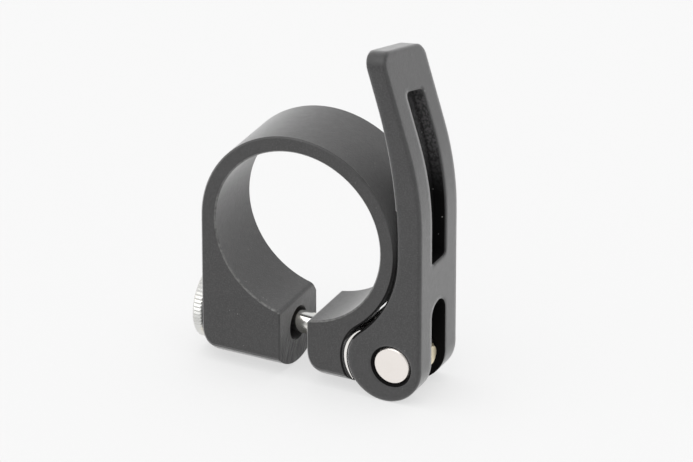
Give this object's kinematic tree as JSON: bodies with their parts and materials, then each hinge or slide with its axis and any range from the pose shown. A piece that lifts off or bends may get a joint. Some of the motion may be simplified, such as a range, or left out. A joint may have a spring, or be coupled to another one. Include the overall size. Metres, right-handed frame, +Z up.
{
  "type": "seatpost clamp",
  "caption": "Quick-release seatpost clamp: a split black collar with lugs, drawn together by a cross bolt and a curved cam lever.",
  "frame": {"origin": "middle of the bore, half way through the collar's width", "axes": "+Y along the bore axis, +X across the lugs towards the lever, +Z up along the closed lever"},
  "size_m": [0.0493, 0.0158, 0.0719],
  "materials": {
    "collar_anodised": "matte black anodised",
    "lever_anodised": "satin black anodised",
    "saddle_steel": "bright pressed steel",
    "barrel_nickel": "nickel plated",
    "washer_black": "black nylon",
    "bolt_zinc": "zinc plated"
  },
  "bodies": {
    "collar": {"clamp_collar": "collar_anodised", "saddle_washer": "saddle_steel"},
    "lever": {"cam_lever": "lever_anodised"},
    "barrel": {"barrel_nut": "barrel_nickel"},
    "washer": {"head_washer": "washer_black"},
    "bolt": {"clamp_bolt": "bolt_zinc"}
  },
  "joints": [
    {"name": "lever_open", "type": "hinge", "parent": "collar", "child": "lever", "pos_m": [0.01833, 0, -0.02305], "axis": [0, 1, 0], "range_deg": [0, 145]},
    {"name": "barrel_turn", "type": "hinge", "parent": "lever", "child": "barrel", "pos_m": [0.01993, 0, -0.02305], "axis": [0, 1, 0], "range_deg": [-145, 0]},
    {"name": "bolt_travel", "type": "slide", "parent": "barrel", "child": "washer", "axis": [-0.9994, 0, 0.0349], "range_m": [0, 0.0024]},
    {"name": "bolt_turn", "type": "hinge", "parent": "washer", "child": "bolt", "pos_m": [0.01993, 0, -0.02305], "axis": [-0.9994, 0, 0.0349], "range_deg": [0, 1080]}
  ],
  "couplings": [
    {"joint": "barrel_turn", "follows": "lever_open", "ratio": -1},
    {"joint": "bolt_turn", "follows": "bolt_travel", "rad_per_m": 7854}
  ]
}
